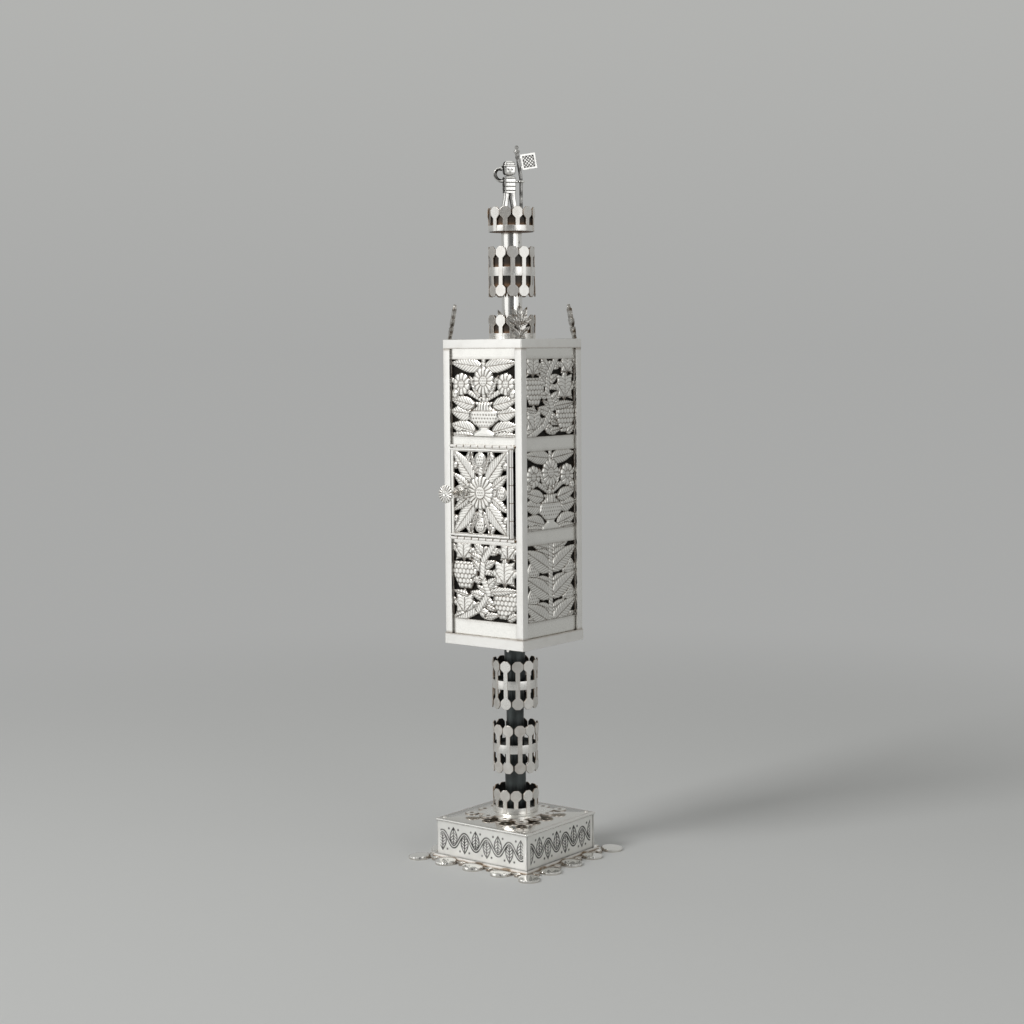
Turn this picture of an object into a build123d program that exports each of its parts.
"""Silver spice tower: a pierced lantern box with a hinged door, between a stem and a galleried spire.

Frame: millimetres, +Z up, origin under the middle of the foot. The door is on the front, facing -Y.
"""
import os
from math import atan2, cos, degrees, hypot, radians, sin, sqrt

from build123d import *

# Clearances
solder_gap = 0.05        # between curved faces that are soldered
running_gap = 0.05       # radial, at pins and shafts that turn
door_gap = 0.3           # round the edge of the door

# Flats on small rounds that are filed by hand
filed_sides = 8

# Foot plate with its ring of cut discs
foot_thick = 1.5
foot_side = 47.4
foot_lobe_span = 51.0    # side of the square that the discs' centres stand on
foot_lobe_radius = 3.9
foot_lobe_sides = 12
foot_lobes_a_side = 5
foot_neck_width = 3.2
foot_access_radius = 9.0

# Hollow base
base_side = 41.6
base_wall_height = 12.4
base_wall_thick = 0.9
base_top_side = 42.6
base_top_thick = 0.9
rivet_inset = 2.2        # from the wall's outer face
rivet_head_radius = 0.85
rivet_head_height = 0.45
rivet_head_taper = 40.0

# Rosette plate on the base
rosette_lift = 1.2
rosette_boss_side = 14.0
rosette_thick = 0.9
rosette_side = 19.6
rosette_lobe_span = 23.2
rosette_lobes_a_side = 4
rosette_lobe_radius = 2.5
rosette_hole_radius = 0.6
rosette_hole_sides = 6

# Stem
stem_radius = 3.2
stem_wall = 1.0
sleeve_radius = 3.85
stem_pin_radius = 0.6
stem_pin_proud = 0.25
lower_pin_drop = 2.3      # under the lower gallery's disc
upper_pin_drop = 3.05     # under the box
washer_side = 13.0
washer_thick = 0.8
nut_radius = 6.0
nut_height = 3.5
thread_below_nut = 0.6

# Galleries, rolled rings that carry flat spatulas
gallery_radius = 8.35
gallery_wall = 0.6
spatula_count = 12
spatula_disc_radius = 2.25
spatula_stem_width = 1.7
spatula_thick = 0.42
spatula_proud = 0.12     # of the spatula's face over the band
crown_height = 8.7
crown_band_height = 2.1
gallery_height = 17.9
gallery_band_height = 3.2
gallery_disc_thick = 0.8
collar_wall = 0.5        # dark collar behind the spatulas of the upper rings
lower_gallery_rise = 15.0    # over the rosette plate
upper_gallery_rise = 5.8     # over the lower gallery
spire_gallery_rise = 15.25   # over the cap
view_turn = 38.0         # the galleries' turns are counted from this side of the tower
base_crown_turn = 2.0
lower_gallery_turn = 11.0
upper_gallery_turn = 6.0
roof_crown_turn = -1.0
spire_gallery_turn = 2.0
top_crown_turn = 15.5

# Lantern box
box_side = 35.8          # over the corner posts
box_rise = 6.35          # over the upper gallery
tray_overhang = 0.3
tray_rim_height = 3.9
cap_overhang = 0.1
cap_rim_height = 3.35
rim_wall = 0.9
plate_thick = 0.9
post_leg = 3.0
post_thick = 0.9
panel_thick = 0.8
lining_thick = 0.3       # dark sheets behind the pierced panels
lining_gap = 0.05

# Bands and fields of the pierced panels, from the rim of the tray up
bottom_band = 5.6
field_height = 27.6
cross_band = 5.2
middle_field_height = 28.4
top_band = 3.85

# Door, rails and hinge
door_rail_height = 1.0
door_rail_depth = 1.6
lower_rail_band = 1.5    # plain strip between the lowest field and the lower rail
upper_rail_band = 2.9    # plain strip between the upper rail and the highest field
door_stop_lip = 0.9
rail_groove_count = 8
rail_groove = 0.3
door_thick = 0.8
door_stile = 1.2
door_bar = 0.9
hinge_inset = 1.65       # hinge axis from the post's edge
hinge_sink = 0.05        # hinge axis outside the posts' face
hinge_tube_radius = 0.8
hinge_pin_radius = 0.4
hinge_head_radius = 0.6
hinge_head_height = 0.3

# Knob and its catch
knob_inset = 2.4         # knob axis from the post's edge
knob_rise = -0.5         # knob axis over the middle of the door
knob_shaft_radius = 0.6
knob_collar_radius = 1.1
knob_collar_thick = 0.6
knob_stand = 5.2         # back of the rosette from the door's face
knob_petal_count = 16
knob_petal_radius = 2.55
knob_petal_size = 0.8
knob_disc_thick = 0.9
knob_boss_radius = 0.95
knob_boss_height = 0.6
knob_boss_taper = 25.0
knob_lug_radius = 1.9
tongue_length = 3.0
tongue_width = 1.6
tongue_thick = 0.7
tongue_gap = 0.1

# Crests on the roof corners
crest_height = 12.8
crest_width = 8.8
crest_foot_width = 3.8
crest_thick = 1.3
crest_inset = 2.6        # along the diagonal, from the cap's corner
crest_lean = 10.0

# Spire
spire_radius = 3.75
spire_wall = 0.75
spire_height = 38.55
spigot_height = 7.0
spigot_flange_side = 9.0
spigot_flange_thick = 0.8
crown_plug_height = 7.0
spire_pin_radius = 0.5
spire_pin_drop = 3.7
top_crown_floor = 0.9

# Figure with its flag
figure_turn = 52.0
figure_shift = -0.7      # along its shoulders, from the tower's axis
leg_height = 13.0
leg_spread = 2.5
leg_foot = 2.3
hip_width = 4.2
hip_depth = 2.4
hip_height = 2.0
torso_width = 4.6
torso_depth = 3.8
torso_height = 5.8
shoulder_drop = 1.7
neck_width = 1.8
neck_height = 0.5
head_width = 4.5
head_depth = 3.6
head_height = 3.0
hat_brim_overhang = 0.3
hat_brim_thick = 0.45
hat_height = 1.75
filed_corner = 0.22      # share of a block's depth that is filed off its corners
arm_radius = 0.6
arm_bend = 1.2
elbow_out = 5.4
elbow_rise = 1.6
hand_rise = 4.4
pole_radius = 0.62
pole_out = 4.4
pole_bend = 18.0
pole_lean = 9.5
pole_top = 27.2
finial_radius = 1.1
finial_tip = 30.0
grip_wire = 0.4
flag_side = 5.5
flag_thick = 0.7
flag_field_thick = 0.35
flag_border = 0.6
flag_height = 23.8       # middle of the flag over the crown's floor
flag_lug = 0.4

# Levels that follow from the sizes
wall_bottom = foot_thick
base_top_bottom = wall_bottom + base_wall_height
base_top = base_top_bottom + base_top_thick
rosette_bottom = base_top + rosette_lift
rosette_top = rosette_bottom + rosette_thick
lower_gallery_bottom = rosette_top + lower_gallery_rise
upper_gallery_bottom = lower_gallery_bottom + gallery_height + upper_gallery_rise
lower_disc_bottom = lower_gallery_bottom + gallery_height / 2 - gallery_disc_thick / 2
upper_disc_bottom = upper_gallery_bottom + gallery_height / 2 - gallery_disc_thick / 2
box_bottom = upper_gallery_bottom + gallery_height + box_rise
lower_pin_height = lower_disc_bottom - lower_pin_drop
upper_pin_height = box_bottom - upper_pin_drop
post_height = bottom_band + 2 * field_height + 2 * cross_band + middle_field_height + top_band
tray_floor = box_bottom + plate_thick
tray_rim = box_bottom + tray_rim_height
cap_bottom = tray_rim + post_height
cap_top = cap_bottom + cap_rim_height
cap_ceiling = cap_top - plate_thick
spire_top = cap_top + spire_height
spire_gallery_bottom = cap_top + spire_gallery_rise
spire_disc_bottom = spire_gallery_bottom + gallery_height / 2 - gallery_disc_thick / 2
crown_floor = spire_top + top_crown_floor

# Faces of the box, measured from the axis
post_face = box_side / 2
panel_face = post_face - post_thick
panel_inside = panel_face - panel_thick
post_edge = post_face - post_leg
side_names = ("front", "right", "back", "left")
side_normals = ((0, -1, 0), (1, 0, 0), (0, 1, 0), (-1, 0, 0))
side_planes = {name: Plane(origin=(0, 0, 0), x_dir=(-out[1], out[0], 0), z_dir=out)
               for name, out in zip(side_names, side_normals)}

# Heights of the three fields, low and high edge
field_low_1 = tray_rim + bottom_band
field_high_1 = field_low_1 + field_height
field_low_2 = field_high_1 + cross_band
field_high_2 = field_low_2 + middle_field_height
field_low_3 = field_high_2 + cross_band
field_high_3 = field_low_3 + field_height

# Door opening
lower_rail_bottom = field_high_1 + lower_rail_band
lower_rail_top = lower_rail_bottom + door_rail_height
upper_rail_top = field_low_3 - upper_rail_band
upper_rail_bottom = upper_rail_top - door_rail_height
door_bottom = lower_rail_top + door_gap
door_top = upper_rail_bottom - door_gap
door_left = -post_edge + door_gap
hinge_x = post_edge - hinge_inset
hinge_y = -(post_face + hinge_sink)
door_right = hinge_x - hinge_tube_radius - solder_gap
knob_x = -post_edge + knob_inset
knob_z = (door_bottom + door_top) / 2 + knob_rise

os.makedirs("parts", exist_ok=True)


def finish(piece, name):
    """Label a finished piece and write it as its own file."""
    piece.label = name
    export_step(piece, f"parts/{name}.step")


def bar(start, end, width):
    """A straight strip between two points of a sketch."""
    run = (end[0] - start[0], end[1] - start[1])
    with Locations(((start[0] + end[0]) / 2, (start[1] + end[1]) / 2)):
        Rectangle(hypot(*run), width, rotation=degrees(atan2(run[1], run[0])))


def leaf(root, tip, width):
    """A pointed leaf from its root to its tip, widest before the middle."""
    run = (tip[0] - root[0], tip[1] - root[1])
    length = hypot(*run)
    upper = [(0.30 * length, 0.5 * width), (0.66 * length, 0.38 * width)]
    lower = [(x, -y) for x, y in reversed(upper)]
    with Locations(root):
        Polygon((0, 0), *upper, (length, 0), *lower, rotation=degrees(atan2(run[1], run[0])), align=None)


def disc(centre, radius, sides=filed_sides):
    """A sawn disc with a few flats."""
    with Locations(centre):
        RegularPolygon(radius, sides)


def lobed_leaf(centre, radius, lobes=5):
    """A broad vine leaf with pointed lobes."""
    steps = range(2 * lobes)
    reach = [radius if step % 2 == 0 else 0.76 * radius for step in steps]
    angles = [radians(90 + 180 * step / lobes) for step in steps]
    with Locations(centre):
        Polygon(*[(r * cos(a), r * sin(a)) for r, a in zip(reach, angles)], align=None)


def flower_vase(mid, half, low, height):
    """A footed vase with three flowers, its leaves reaching the frame."""
    def at(u, v):
        return (mid + u * half, low + v * height)

    outline = [(0.34, -0.02), (0.34, 0.045), (0.15, 0.10), (0.46, 0.22), (0.42, 0.33), (0.20, 0.395),
               (0.32, 0.45)]
    vase = [at(u, v) for u, v in outline] + [at(-u, v) for u, v in reversed(outline)]
    Polygon(*vase, align=None)
    stalk = 0.12 * half
    bar(at(0, 0.42), at(0, 1.02), stalk)
    disc(at(0, 0.72), 0.33 * half, 10)
    for hand in (-1, 1):
        bar(at(0, 0.46), at(hand * 0.62, 0.62), stalk)
        disc(at(hand * 0.68, 0.68), 0.27 * half)
        bar(at(hand * 0.68, 0.68), at(hand * 1.03, 0.74), stalk)
        leaf(at(hand * 0.24, 0.06), at(hand * 1.06, 0.16), 0.40 * half)
        leaf(at(hand * 0.36, 0.29), at(hand * 1.06, 0.33), 0.40 * half)
        leaf(at(0, 0.90), at(hand * 1.04, 0.96), 0.36 * half)


def pomegranate_branch(mid, half, low, height):
    """A straight branch with three pairs of leaves and fruit hanging between them."""
    def at(u, v):
        return (mid + u * half, low + v * height)

    bar(at(0, -0.03), at(0, 1.03), 0.16 * half)
    for hand in (-1, 1):
        for rise in (-0.05, 0.30, 0.65):
            leaf(at(0, rise), at(hand * 1.06, rise + 0.30), 0.46 * half)
        for rise in (0.31, 0.66):
            disc(at(hand * 0.70, rise), 0.24 * half)
            bar(at(hand * 0.70, rise), at(hand * 1.03, rise), 0.14 * half)


def grape_vine(mid, half, low, height):
    """A climbing vine with hanging bunches and broad leaves."""
    def at(u, v):
        return (mid + u * half, low + v * height)

    vine = [at(-0.86, -0.03), at(-0.22, 0.14), at(0.10, 0.36), at(-0.10, 0.58), at(-0.05, 0.80),
            at(0.30, 1.03)]
    for start, end in zip(vine[:-1], vine[1:]):
        bar(start, end, 0.17 * half)
    bunch = [(-0.34, 0.36), (0.34, 0.36), (0.40, 0.20), (0.18, 0), (-0.18, 0), (-0.40, 0.20)]
    for hand, rise in ((1, 0.04), (-1, 0.40)):
        side = hand * 0.62
        Polygon(*[at(side + u, rise + v) for u, v in bunch], align=None)
        bar(at(side, rise + 0.30), at(0, rise + 0.34), 0.14 * half)
        bar(at(side, rise + 0.20), at(hand * 1.03, rise + 0.20), 0.14 * half)
    for u, v, size in ((0.60, 0.62, 0.42), (-0.64, 0.19, 0.38), (-0.66, 0.90, 0.34), (0.70, 0.92, 0.32)):
        lobed_leaf(at(u, v), size * half)
        bar(at(u, v), at(1.03 if u > 0 else -1.03, v + 0.05), 0.16 * half)
        bar(at(u, v), at(0, v + 0.02), 0.14 * half)


def rosette_scroll(mid, half, low, height):
    """A large rosette held by four leaves and four short stalks with buds."""
    def at(u, v):
        return (mid + u * half, low + v * height)

    disc(at(0, 0.5), 0.50 * half, 12)
    for across in (-1, 1):
        for rise in (-1, 1):
            leaf(at(across * 0.20, 0.5 + rise * 0.12), at(across * 1.04, 0.5 + rise * 0.53), 0.52 * half)
            leaf(at(across * 0.30, 0.5 + rise * 0.53), at(across * 0.62, 0.5 + rise * 0.26), 0.24 * half)
        bar(at(across * 0.30, 0.5), at(across * 1.03, 0.5), 0.18 * half)
        disc(at(across * 0.78, 0.5), 0.20 * half)
        bar(at(0, 0.5 + across * 0.12), at(0, 0.5 + across * 0.53), 0.18 * half)
        disc(at(0, 0.5 + across * 0.40), 0.22 * half)


def pierce(motif, mid, half, low, high):
    """Open a field in the sketch of a sheet and leave the motif standing in it."""
    with Locations((mid, (low + high) / 2)):
        Rectangle(2 * half, high - low, mode=Mode.SUBTRACT)
    motif(mid, half, low, high - low)


def pierced_panel(side, width, bottom, top, fields):
    """A sheet on one side of the box, pierced with the given fields."""
    with BuildPart() as panel:
        with BuildSketch(side_planes[side].offset(panel_face)):
            with Locations((0, (bottom + top) / 2)):
                Rectangle(width, top - bottom)
            for motif, low, high in fields:
                pierce(motif, 0, post_edge, low, high)
        extrude(amount=-panel_thick)
    return panel.part


def band_sketch(radius, turn, mode=Mode.ADD):
    """The outline of a rolled band: one flat behind each spatula and one between."""
    sides = 2 * spatula_count
    RegularPolygon(radius, sides, rotation=view_turn + turn - 90 + 180 / sides, mode=mode)


def spatula_ring(bottom, height, band_bottom, band_height, turn, both_ends, collared):
    """A rolled band with flat spatulas standing round it, disc ends at the top or at both ends.

    A collared ring has a short tube inside it that closes the gaps between the spatulas' stems.
    """
    disc_reach = spatula_disc_radius * cos(radians(180 / filed_sides))
    top_disc = bottom + height - disc_reach
    stem_foot = bottom + disc_reach if both_ends else bottom
    with BuildPart() as spatula:
        with BuildSketch(Plane.XZ.offset(gallery_radius + spatula_proud)):
            bar((0, stem_foot), (0, top_disc), spatula_stem_width)
            for centre in (stem_foot, top_disc) if both_ends else (top_disc,):
                with Locations((0, centre)):
                    RegularPolygon(spatula_disc_radius, filed_sides, rotation=180 / filed_sides)
        extrude(amount=-spatula_thick)
    with BuildPart() as ring:
        with BuildSketch(Plane.XY.offset(band_bottom)):
            band_sketch(gallery_radius, turn)
            band_sketch(gallery_radius - gallery_wall, turn, Mode.SUBTRACT)
        extrude(amount=band_height)
        if collared:
            with BuildSketch(Plane.XY.offset(stem_foot)):
                band_sketch(gallery_radius - gallery_wall, turn)
                band_sketch(gallery_radius - gallery_wall - collar_wall, turn, Mode.SUBTRACT)
            extrude(amount=top_disc - stem_foot)
        with PolarLocations(0, spatula_count, start_angle=view_turn + turn):
            add(spatula.part)
    return ring.part


def crown_ring(bottom, turn, collared=False):
    """A single crown: the band at the bottom, the spatulas standing up from it."""
    return spatula_ring(bottom, crown_height, bottom, crown_band_height, turn, False, collared)


def gallery_ring(bottom, turn, collared=False):
    """A double gallery: the band round the middle, spatulas up and down."""
    band_bottom = bottom + gallery_height / 2 - gallery_band_height / 2
    return spatula_ring(bottom, gallery_height, band_bottom, gallery_band_height, turn, True, collared)


def gallery_disc(bottom, tube_radius, turn, collared=False):
    """The disc inside a gallery that joins its band, or its collar, to the tube."""
    inside = gallery_radius - gallery_wall - (collar_wall if collared else 0)
    with BuildPart() as plate:
        with BuildSketch(Plane.XY.offset(bottom)):
            band_sketch(inside - solder_gap, turn)
            Circle(tube_radius + solder_gap, mode=Mode.SUBTRACT)
        extrude(amount=gallery_disc_thick)
    return plate.part


def lobed_sketch(side, span, lobes_a_side, lobe_radius, neck_width, sides):
    """A square plate with discs standing round its edge on short necks."""
    Rectangle(side, side)
    step = span / (lobes_a_side - 1)
    line = [step * i - span / 2 for i in range(lobes_a_side)]
    inner = side / 2 - neck_width / 2
    for x in line:
        for y in line:
            if max(abs(x), abs(y)) > span / 2 - step / 2:
                root = (max(-inner, min(inner, x)), max(-inner, min(inner, y)))
                bar(root, (x, y), neck_width)
                disc((x, y), lobe_radius, sides)


# Foot plate: one sheet sawn into discs round the edge, open under the nut
with BuildPart() as foot_plate:
    with BuildSketch():
        lobed_sketch(foot_side, foot_lobe_span, foot_lobes_a_side, foot_lobe_radius, foot_neck_width,
                     foot_lobe_sides)
        Circle(foot_access_radius, mode=Mode.SUBTRACT)
    extrude(amount=foot_thick)
finish(foot_plate.part, "foot_plate")

# Base walls: two full-width sheets and two between them
for name in side_names:
    width = base_side if name in ("front", "back") else base_side - 2 * base_wall_thick
    with BuildPart() as base_wall:
        with BuildSketch(side_planes[name].offset(base_side / 2)):
            with Locations((0, wall_bottom)):
                Rectangle(width, base_wall_height, align=(Align.CENTER, Align.MIN))
        extrude(amount=-base_wall_thick)
    finish(base_wall.part, f"base_wall_{name}")

# Base top: a square sheet with the stem hole
with BuildPart() as base_top_plate:
    with BuildSketch(Plane.XY.offset(base_top_bottom)):
        Rectangle(base_top_side, base_top_side)
        Circle(stem_radius + solder_gap, mode=Mode.SUBTRACT)
    extrude(amount=base_top_thick)
finish(base_top_plate.part, "base_top_plate")

# Rivet heads at the corners of the base top
rivet_span = base_side - 2 * rivet_inset
with BuildPart() as base_corner_rivets:
    with BuildSketch(Plane.XY.offset(base_top)):
        with GridLocations(rivet_span, rivet_span, 2, 2):
            RegularPolygon(rivet_head_radius, filed_sides)
    extrude(amount=rivet_head_height, taper=rivet_head_taper)
finish(base_corner_rivets.part, "base_corner_rivets")

# Rosette plate: twelve pierced discs round a square, lifted on a boss
with BuildPart() as rosette_plate:
    with BuildSketch(Plane.XY.offset(rosette_bottom)):
        lobed_sketch(rosette_side, rosette_lobe_span, rosette_lobes_a_side, rosette_lobe_radius,
                     rosette_lobe_radius, filed_sides)
        rosette_step = rosette_lobe_span / (rosette_lobes_a_side - 1)
        for x in range(rosette_lobes_a_side):
            for y in range(rosette_lobes_a_side):
                if x in (0, rosette_lobes_a_side - 1) or y in (0, rosette_lobes_a_side - 1):
                    with Locations((rosette_step * x - rosette_lobe_span / 2,
                                    rosette_step * y - rosette_lobe_span / 2)):
                        RegularPolygon(rosette_hole_radius, rosette_hole_sides, mode=Mode.SUBTRACT)
    extrude(amount=rosette_thick)
    with BuildSketch(Plane.XY.offset(rosette_bottom)):
        Rectangle(rosette_boss_side, rosette_boss_side)
    extrude(amount=-rosette_lift)
    with BuildSketch(Plane.XY.offset(base_top)):
        Circle(stem_radius + solder_gap)
    extrude(amount=rosette_lift + rosette_thick, mode=Mode.SUBTRACT)
finish(rosette_plate.part, "rosette_plate")

finish(crown_ring(rosette_top, base_crown_turn), "base_crown")

# Stem tube, from under the nut to the floor of the box
stem_bottom = base_top_bottom - washer_thick - nut_height - thread_below_nut
with BuildPart() as stem_tube:
    with BuildSketch(Plane.XY.offset(stem_bottom)):
        Circle(stem_radius)
        Circle(stem_radius - stem_wall, mode=Mode.SUBTRACT)
    extrude(amount=tray_floor - stem_bottom)
finish(stem_tube.part, "stem_tube")

# Washer and nut that hold the stem from inside the base
with BuildPart() as stem_washer:
    with BuildSketch(Plane.XY.offset(base_top_bottom)):
        Rectangle(washer_side, washer_side)
        Circle(stem_radius + solder_gap, mode=Mode.SUBTRACT)
    extrude(amount=-washer_thick)
finish(stem_washer.part, "stem_washer")

with BuildPart() as stem_nut:
    with BuildSketch(Plane.XY.offset(base_top_bottom - washer_thick)):
        RegularPolygon(nut_radius, 6)
        Circle(stem_radius + solder_gap, mode=Mode.SUBTRACT)
    extrude(amount=-nut_height)
finish(stem_nut.part, "stem_nut")

# Sleeves over the stem, each drilled for its pin
sleeves = (("lower_sleeve", rosette_top, lower_disc_bottom, lower_pin_height),
           ("upper_sleeve", upper_disc_bottom + gallery_disc_thick, box_bottom, upper_pin_height))
for name, bottom, top, pin_height in sleeves:
    with BuildPart() as sleeve:
        with BuildSketch(Plane.XY.offset(bottom)):
            Circle(sleeve_radius)
            Circle(stem_radius + solder_gap, mode=Mode.SUBTRACT)
        extrude(amount=top - bottom)
        with BuildSketch(Plane.XZ.offset(sleeve_radius)):
            with Locations((0, pin_height)):
                RegularPolygon(stem_pin_radius + solder_gap, filed_sides)
        extrude(amount=-sleeve_radius, mode=Mode.SUBTRACT)
    finish(sleeve.part, name)

# Pins in the front of the sleeves, driven up to the stem
for name, pin_height in (("lower_stem_pin", lower_pin_height), ("upper_stem_pin", upper_pin_height)):
    with BuildPart() as stem_pin:
        with BuildSketch(Plane.XZ.offset(stem_radius + solder_gap)):
            with Locations((0, pin_height)):
                RegularPolygon(stem_pin_radius, filed_sides)
        extrude(amount=sleeve_radius - stem_radius - solder_gap + stem_pin_proud)
    finish(stem_pin.part, name)

finish(gallery_ring(lower_gallery_bottom, lower_gallery_turn), "lower_gallery")
finish(gallery_disc(lower_disc_bottom, stem_radius, lower_gallery_turn), "lower_gallery_disc")
finish(gallery_ring(upper_gallery_bottom, upper_gallery_turn), "upper_gallery")
finish(gallery_disc(upper_disc_bottom, stem_radius, upper_gallery_turn), "upper_gallery_disc")

# Floor tray of the box, its rim turned up, with the stem coming through
tray_side = box_side + 2 * tray_overhang
with BuildPart() as floor_tray:
    with BuildSketch(Plane.XY.offset(box_bottom)):
        Rectangle(tray_side, tray_side)
        Circle(stem_radius + solder_gap, mode=Mode.SUBTRACT)
    extrude(amount=plate_thick)
    with BuildSketch(Plane.XY.offset(tray_floor)):
        Rectangle(tray_side, tray_side)
        Rectangle(tray_side - 2 * rim_wall, tray_side - 2 * rim_wall, mode=Mode.SUBTRACT)
    extrude(amount=tray_rim - tray_floor)
finish(floor_tray.part, "floor_tray")

# Corner posts: angle strips from the tray's rim to the cap
for depth_name, depth in (("front", -1), ("back", 1)):
    for hand_name, hand in (("left", -1), ("right", 1)):
        corner = (Align.MAX if hand > 0 else Align.MIN, Align.MAX if depth > 0 else Align.MIN)
        with BuildPart() as post:
            with BuildSketch(Plane.XY.offset(tray_rim)):
                with Locations((hand * post_face, depth * post_face)):
                    Rectangle(post_leg, post_leg, align=corner)
                with Locations((hand * panel_face, depth * panel_face)):
                    Rectangle(post_leg, post_leg, align=corner, mode=Mode.SUBTRACT)
            extrude(amount=post_height)
        finish(post.part, f"post_{depth_name}_{hand_name}")

# Pierced panels of the closed sides
full_width = 2 * panel_face
between_width = 2 * panel_inside
panels = (("right", between_width, (pomegranate_branch, flower_vase, grape_vine)),
          ("back", full_width, (flower_vase, pomegranate_branch, rosette_scroll)),
          ("left", between_width, (rosette_scroll, grape_vine, pomegranate_branch)))
for name, width, (low_motif, middle_motif, high_motif) in panels:
    fields = ((low_motif, field_low_1, field_high_1),
              (middle_motif, field_low_2, field_high_2),
              (high_motif, field_low_3, field_high_3))
    finish(pierced_panel(name, width, tray_floor, cap_ceiling, fields), f"{name}_panel")

# Front panels over and under the door, each with a lip that the door closes against
finish(pierced_panel("front", full_width, tray_floor, door_bottom + door_stop_lip,
                     ((grape_vine, field_low_1, field_high_1),)), "front_lower_panel")
finish(pierced_panel("front", full_width, door_top - door_stop_lip, cap_ceiling,
                     ((flower_vase, field_low_3, field_high_3),)), "front_upper_panel")

# Linings: a plain sheet behind each pierced panel, between the floor and the roof
lining_face = panel_inside - lining_gap
lining_width = 2 * (lining_face - lining_thick - lining_gap)
linings = (("right", 2 * lining_face, tray_floor, cap_ceiling),
           ("back", lining_width, tray_floor, cap_ceiling),
           ("left", 2 * lining_face, tray_floor, cap_ceiling),
           ("front", lining_width, tray_floor, door_bottom),
           ("front", lining_width, door_top, cap_ceiling))
with BuildPart() as panel_linings:
    for name, width, bottom, top in linings:
        with BuildSketch(side_planes[name].offset(lining_face)):
            with Locations((0, (bottom + top) / 2)):
                Rectangle(width, top - bottom - 2 * lining_gap)
        extrude(amount=-lining_thick)
finish(panel_linings.part, "panel_linings")

# Door rails: notched strips across the front that hold the ends of the hinge pin
rail_length = 2 * (post_edge - solder_gap)
rail_front = panel_face + door_rail_depth
for name, bottom in (("lower_door_rail", lower_rail_bottom), ("upper_door_rail", upper_rail_bottom)):
    with BuildPart() as rail:
        with BuildSketch(Plane.XY.offset(bottom)):
            with Locations((0, -panel_face)):
                Rectangle(rail_length, door_rail_depth, align=(Align.CENTER, Align.MAX))
            with Locations((hinge_x, hinge_y)):
                Circle(hinge_pin_radius + solder_gap, mode=Mode.SUBTRACT)
            groove_step = rail_length / (rail_groove_count + 1)
            with Locations((0, -rail_front)):
                with GridLocations(groove_step, 1, rail_groove_count, 1):
                    Rectangle(rail_groove, rail_groove, rotation=45, mode=Mode.SUBTRACT)
        extrude(amount=door_rail_height)
    finish(rail.part, name)

# Hinge pin, riveted over the rails at both ends
with BuildPart() as hinge_pin:
    with BuildSketch(Plane.XY.offset(lower_rail_bottom - hinge_head_height)):
        with Locations((hinge_x, hinge_y)):
            Circle(hinge_pin_radius)
    extrude(amount=upper_rail_top - lower_rail_bottom + 2 * hinge_head_height)
    for head_bottom in (lower_rail_bottom - hinge_head_height, upper_rail_top):
        with BuildSketch(Plane.XY.offset(head_bottom)):
            with Locations((hinge_x, hinge_y)):
                RegularPolygon(hinge_head_radius, filed_sides)
        extrude(amount=hinge_head_height)
finish(hinge_pin.part, "hinge_pin")

# Door: a pierced sheet with a lug for the knob
door_mid = (door_left + door_right) / 2
door_field_half = (door_right - door_left) / 2 - door_stile
with BuildPart() as door_panel:
    with BuildSketch(Plane.XZ.offset(post_face)):
        with Locations((door_mid, (door_bottom + door_top) / 2)):
            Rectangle(door_right - door_left, door_top - door_bottom)
        pierce(rosette_scroll, door_mid, door_field_half, door_bottom + door_stile, door_top - door_stile)
        disc((knob_x, knob_z), knob_lug_radius)
        bar((door_left, knob_z), (knob_x, knob_z), 2 * knob_lug_radius)
        with Locations((knob_x, knob_z)):
            Circle(knob_shaft_radius + running_gap, mode=Mode.SUBTRACT)
    extrude(amount=-door_thick)
finish(door_panel.part, "door_panel")

# Bars on the face of the door, along its top and bottom and beside the hinge
with BuildPart() as door_cross_bars:
    with BuildSketch(Plane.XZ.offset(post_face)):
        for edge in (door_bottom + door_bar / 2, door_top - door_bar / 2):
            bar((door_left, edge), (door_right, edge), door_bar)
    extrude(amount=door_bar)
finish(door_cross_bars.part, "door_cross_bars")

with BuildPart() as door_side_bar:
    with BuildSketch(Plane.XZ.offset(post_face)):
        upright = door_right - door_bar / 2
        bar((upright, door_bottom + door_bar), (upright, door_top - door_bar), door_bar)
    extrude(amount=door_bar)
finish(door_side_bar.part, "door_side_bar")

# Hinge tube on the door's edge, turning on the pin
with BuildPart() as door_hinge_tube:
    with BuildSketch(Plane.XY.offset(door_bottom)):
        with Locations((hinge_x, hinge_y)):
            Circle(hinge_tube_radius)
            Circle(hinge_pin_radius + running_gap, mode=Mode.SUBTRACT)
    extrude(amount=door_top - door_bottom)
finish(door_hinge_tube.part, "door_hinge_tube")

# Knob shaft with its collar, through the lug of the door
knob_back = post_face + knob_stand
tongue_face = panel_face - tongue_gap
with BuildPart() as knob_shaft:
    with BuildSketch(Plane.XZ.offset(tongue_face)):
        with Locations((knob_x, knob_z)):
            Circle(knob_shaft_radius)
    extrude(amount=knob_back - tongue_face)
    with BuildSketch(Plane.XZ.offset(post_face + running_gap)):
        with Locations((knob_x, knob_z)):
            RegularPolygon(knob_collar_radius, filed_sides)
    extrude(amount=knob_collar_thick)
finish(knob_shaft.part, "knob_shaft")

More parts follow.
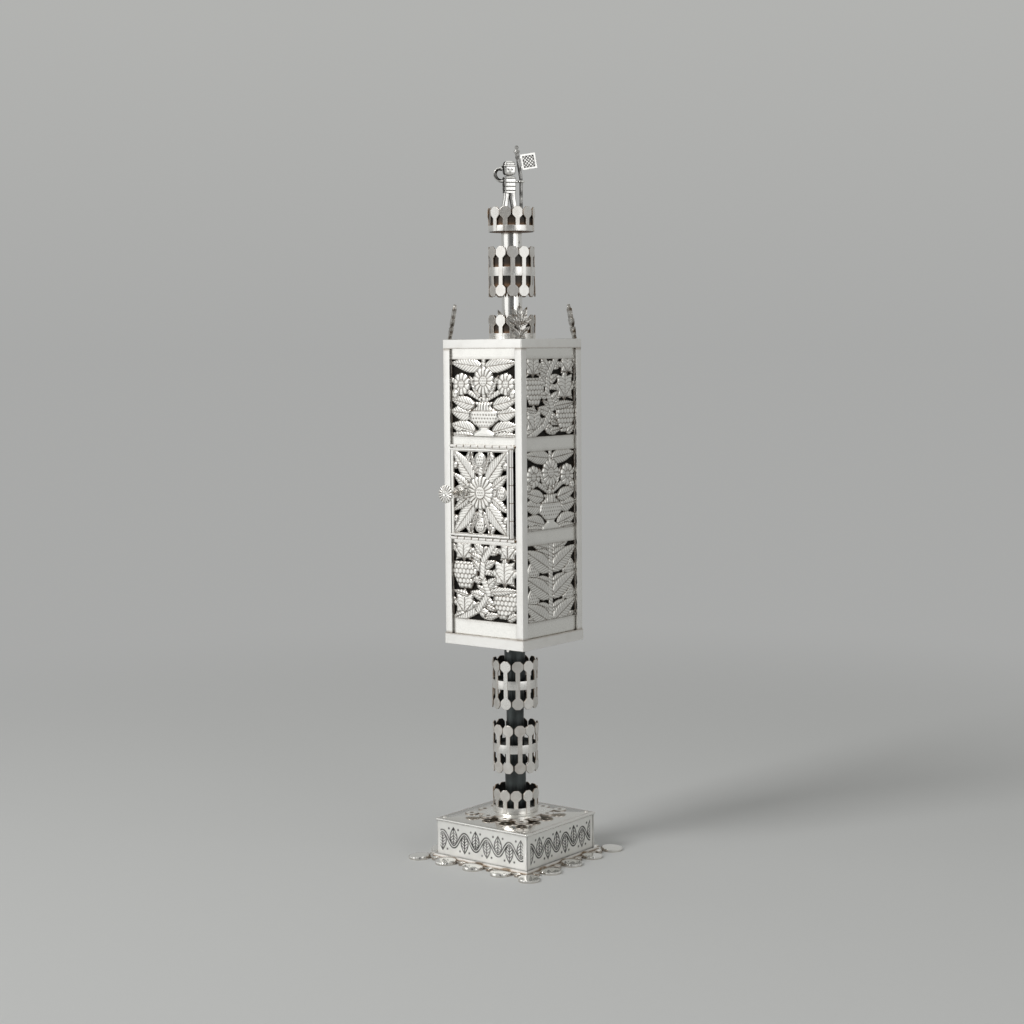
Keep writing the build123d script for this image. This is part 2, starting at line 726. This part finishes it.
# Knob: a rosette of cut petals with a small boss
with BuildPart() as knob_rosette:
    with BuildSketch(Plane.XZ.offset(knob_back)):
        with Locations((knob_x, knob_z)):
            RegularPolygon(knob_petal_radius, knob_petal_count)
            with PolarLocations(knob_petal_radius, knob_petal_count):
                Rectangle(2 * knob_petal_size, 0.72 * knob_petal_size)
    extrude(amount=knob_disc_thick)
    with BuildSketch(Plane.XZ.offset(knob_back + knob_disc_thick)):
        with Locations((knob_x, knob_z)):
            RegularPolygon(knob_boss_radius, filed_sides)
    extrude(amount=knob_boss_height, taper=knob_boss_taper)
finish(knob_rosette.part, "knob_rosette")

# Catch tongue on the inner end of the shaft, hanging clear of the post at rest
with BuildPart() as catch_tongue:
    with BuildSketch(Plane.XZ.offset(tongue_face)):
        with Locations((knob_x, knob_z + tongue_width / 2)):
            Rectangle(tongue_width, tongue_length + tongue_width / 2, align=(Align.CENTER, Align.MAX))
    extrude(amount=-tongue_thick)
finish(catch_tongue.part, "catch_tongue")

# Cap: a square sheet with its rim turned down, open for the spigot
cap_side = box_side + 2 * cap_overhang
spigot_radius = spire_radius - spire_wall - solder_gap
with BuildPart() as top_cap:
    with BuildSketch(Plane.XY.offset(cap_bottom)):
        Rectangle(cap_side, cap_side)
        Rectangle(cap_side - 2 * rim_wall, cap_side - 2 * rim_wall, mode=Mode.SUBTRACT)
    extrude(amount=cap_ceiling - cap_bottom)
    with BuildSketch(Plane.XY.offset(cap_ceiling)):
        Rectangle(cap_side, cap_side)
        Circle(spigot_radius + solder_gap, mode=Mode.SUBTRACT)
    extrude(amount=plate_thick)
finish(top_cap.part, "top_cap")

# Spigot through the cap that the spire slides over
with BuildPart() as roof_spigot:
    with BuildSketch(Plane.XY.offset(cap_ceiling)):
        Rectangle(spigot_flange_side, spigot_flange_side)
    extrude(amount=-spigot_flange_thick)
    with BuildSketch(Plane.XY.offset(cap_ceiling)):
        Circle(spigot_radius)
    extrude(amount=plate_thick + spigot_height)
finish(roof_spigot.part, "roof_spigot")

# Crests: palmettes standing across the roof corners and leaning inwards
crest_heart = 0.42 * crest_height
crest_corner = (cap_side / 2 - crest_inset / sqrt(2))
for depth_name, depth in (("front", -1), ("back", 1)):
    for hand_name, hand in (("left", -1), ("right", 1)):
        out = Vector(hand, depth, 0).normalized()
        crest_plane = Plane(origin=(hand * crest_corner, depth * crest_corner, cap_top),
                            x_dir=(-depth, hand, 0),
                            z_dir=out * cos(radians(crest_lean)) + Vector(0, 0, sin(radians(crest_lean))))
        with BuildPart() as crest:
            with BuildSketch(crest_plane):
                bar((0, -crest_thick), (0, crest_heart), 0.30 * crest_foot_width)
                bar((0, -crest_thick), (0, 0.08 * crest_height), crest_foot_width)
                disc((0, crest_heart), 0.16 * crest_width, 10)
                for side_leaf in range(5):
                    angle = radians(14 + 38 * side_leaf)
                    reach = (0.5 * crest_width, crest_height - crest_heart)
                    tip = (reach[0] * cos(angle), crest_heart + reach[1] * sin(angle))
                    leaf((0, crest_heart), tip, 0.27 * crest_width)
                for way in (-1, 1):
                    leaf((0, 0.06 * crest_height), (way * 0.40 * crest_width, 0.34 * crest_height),
                         0.22 * crest_width)
            extrude(amount=crest_thick / 2, both=True)
            split(bisect_by=Plane.XY.offset(cap_top), keep=Keep.TOP)
        finish(crest.part, f"crest_{depth_name}_{hand_name}")

finish(crown_ring(cap_top, roof_crown_turn, collared=True), "roof_crown")

# Spire tube over the spigot, drilled on its right for the pin of the top crown
spire_pin_height = spire_top - spire_pin_drop
with BuildPart() as spire_tube:
    with BuildSketch(Plane.XY.offset(cap_top)):
        Circle(spire_radius)
        Circle(spire_radius - spire_wall, mode=Mode.SUBTRACT)
    extrude(amount=spire_height)
    with BuildSketch(Plane.YZ.offset(spire_radius)):
        with Locations((0, spire_pin_height)):
            RegularPolygon(spire_pin_radius + solder_gap, filed_sides)
    extrude(amount=-spire_radius, mode=Mode.SUBTRACT)
finish(spire_tube.part, "spire_tube")

finish(gallery_ring(spire_gallery_bottom, spire_gallery_turn, collared=True), "spire_gallery")
finish(gallery_disc(spire_disc_bottom, spire_radius, spire_gallery_turn, collared=True), "spire_gallery_disc")

# Plug under the top crown, pinned in the spire tube
with BuildPart() as crown_plug:
    with BuildSketch(Plane.XY.offset(spire_top)):
        Circle(spigot_radius)
    extrude(amount=-crown_plug_height)
finish(crown_plug.part, "crown_plug")

with BuildPart() as spire_pin:
    with BuildSketch(Plane.YZ.offset(spigot_radius + solder_gap)):
        with Locations((0, spire_pin_height)):
            RegularPolygon(spire_pin_radius, filed_sides)
    extrude(amount=spire_radius - spigot_radius - solder_gap + stem_pin_proud)
finish(spire_pin.part, "spire_pin")

# Top crown with its floor, which the figure stands on
with BuildPart() as top_crown:
    add(crown_ring(spire_top, top_crown_turn, collared=True))
    with BuildSketch(Plane.XY.offset(spire_top)):
        band_sketch(gallery_radius - gallery_wall / 2, top_crown_turn)
    extrude(amount=top_crown_floor)
finish(top_crown.part, "top_crown")

# Frames of the figure: its ground plan and its front
turn = radians(figure_turn)
figure_across = Vector(cos(turn), sin(turn), 0)
figure_facing = Vector(sin(turn), -cos(turn), 0)
figure_place = figure_across * figure_shift + Vector(0, 0, crown_floor)
figure_ground = Plane(origin=figure_place, x_dir=figure_across, z_dir=(0, 0, 1))
figure_front = Plane(origin=figure_place, x_dir=figure_across, z_dir=figure_facing)
shoulder_height = leg_height + torso_height - shoulder_drop
head_bottom = leg_height + torso_height


def filed_block(width, depth):
    """The section of a block with its corners filed off."""
    x, y, cut = width / 2, depth / 2, filed_corner * depth
    quarter = [(x, y - cut), (x - cut, y), (cut - x, y), (-x, y - cut)]
    Polygon(*quarter, *[(-u, -v) for u, v in quarter], align=None)


# Legs: two tapered limbs joined at the hip
with BuildPart() as figure_legs:
    for hand in (-1, 1):
        with BuildSketch(figure_ground):
            with Locations((hand * leg_spread, 0)):
                Rectangle(leg_foot, leg_foot)
        with BuildSketch(figure_ground.offset(leg_height - hip_height)):
            with Locations((hand * hip_width / 4, 0)):
                Rectangle(hip_width / 2, hip_depth)
        loft()
    with BuildSketch(figure_ground.offset(leg_height - hip_height)):
        Rectangle(hip_width, hip_depth)
    extrude(amount=hip_height)
finish(figure_legs.part, "figure_legs")

# Torso: a coat that widens to the shoulders
with BuildPart() as figure_torso:
    with BuildSketch(figure_ground.offset(leg_height)):
        filed_block(0.9 * torso_width, 0.9 * torso_depth)
    with BuildSketch(figure_ground.offset(leg_height + torso_height)):
        filed_block(torso_width, torso_depth)
    loft(ruled=True)
finish(figure_torso.part, "figure_torso")

# Head: a filed block with a flat-brimmed hat
brim_bottom = neck_height + head_height
brim_top = brim_bottom + hat_brim_thick
head_plane = figure_ground.offset(head_bottom)
with BuildPart() as figure_head:
    for rise, width, depth in ((0, neck_width, neck_width), (neck_height, neck_width, neck_width),
                               (neck_height + 0.25 * head_height, 0.92 * head_width, 0.92 * head_depth),
                               (brim_bottom, head_width, head_depth)):
        with BuildSketch(head_plane.offset(rise)):
            filed_block(width, depth)
    loft(ruled=True)
    with BuildSketch(head_plane.offset(brim_bottom)):
        filed_block(head_width + 2 * hat_brim_overhang, head_depth + 2 * hat_brim_overhang)
    extrude(amount=hat_brim_thick)
    for rise, share in ((0, 0.92), (0.65 * hat_height, 0.84), (hat_height, 0.5)):
        with BuildSketch(head_plane.offset(brim_top + rise)):
            filed_block(share * head_width, share * head_depth)
    loft(ruled=True)
finish(figure_head.part, "figure_head")

# Arms: one bent wire up to the head, one with an eye round the pole
arm_root = torso_width / 2 + arm_radius + solder_gap
eye_radius = pole_radius + solder_gap + 2 * grip_wire
with BuildPart() as figure_arms:
    with BuildLine(figure_front) as raised_arm:
        Polyline((-arm_root, shoulder_height), (-elbow_out + arm_bend, shoulder_height + 0.3 * elbow_rise),
                 (-elbow_out, shoulder_height + elbow_rise),
                 (-elbow_out + arm_radius, shoulder_height + hand_rise - arm_bend),
                 (-head_width / 2 - arm_radius - solder_gap, shoulder_height + hand_rise))
    with BuildSketch(Plane(origin=raised_arm.line @ 0, z_dir=raised_arm.line % 0)):
        RegularPolygon(arm_radius, filed_sides)
    sweep(transition=Transition.RIGHT)
    with BuildSketch(figure_ground.offset(shoulder_height - grip_wire)):
        with Locations((pole_out, 0)):
            RegularPolygon(eye_radius, filed_sides)
            RegularPolygon(pole_radius + solder_gap, filed_sides, mode=Mode.SUBTRACT)
        with Locations((torso_width / 2, 0)):
            Rectangle(pole_out - torso_width / 2 - eye_radius + grip_wire, 2 * grip_wire,
                      align=(Align.MIN, Align.CENTER))
    extrude(amount=2 * grip_wire)
finish(figure_arms.part, "figure_arms")

# Flagpole: upright to the hand, then leaning over the head, with a filed finial
pole_tip = pole_out - (pole_top - pole_bend) * sin(radians(pole_lean))
with BuildPart() as flagpole:
    with BuildLine(figure_front) as pole_path:
        Polyline((pole_out, 0), (pole_out, pole_bend), (pole_tip, pole_top))
    with BuildSketch(Plane(origin=pole_path.line @ 0, x_dir=figure_across, z_dir=(0, 0, 1))):
        RegularPolygon(pole_radius, filed_sides)
    sweep(transition=Transition.RIGHT)
    finial = ((pole_top - pole_radius, pole_radius), (pole_top + 0.5 * finial_radius, finial_radius),
              (pole_top + finial_radius, finial_radius),
              (pole_top + 1.6 * finial_radius, 0.45 * finial_radius), (finial_tip, 0.3 * finial_radius))
    for rise, radius in finial:
        with BuildSketch(figure_ground.offset(rise)):
            with Locations((pole_tip, 0)):
                RegularPolygon(radius, filed_sides)
    loft(ruled=True)
finish(flagpole.part, "flagpole")

# Flag: a square plate with a raised border, on two lugs
pole_at_flag = pole_out - (flag_height - pole_bend) * sin(radians(pole_lean))
flag_mid = pole_at_flag + pole_radius + solder_gap + flag_lug + flag_side / 2
flag_rise = flag_height + (flag_mid - pole_at_flag) * sin(radians(pole_lean))
flag_across = figure_across * cos(radians(pole_lean)) + Vector(0, 0, sin(radians(pole_lean)))
flag_plane = Plane(origin=figure_front.from_local_coords((flag_mid, flag_rise, 0)),
                   x_dir=flag_across, z_dir=figure_facing)
with BuildPart() as flag:
    with BuildSketch(flag_plane):
        Rectangle(flag_side, flag_side)
        for edge in (-1, 1):
            with Locations((-flag_side / 2, edge * 0.32 * flag_side)):
                Rectangle(flag_lug, flag_border, align=(Align.MAX, Align.CENTER))
    extrude(amount=flag_field_thick / 2, both=True)
    with BuildSketch(flag_plane):
        Rectangle(flag_side, flag_side)
        Rectangle(flag_side - 2 * flag_border, flag_side - 2 * flag_border, mode=Mode.SUBTRACT)
    extrude(amount=flag_thick / 2, both=True)
finish(flag.part, "flag")
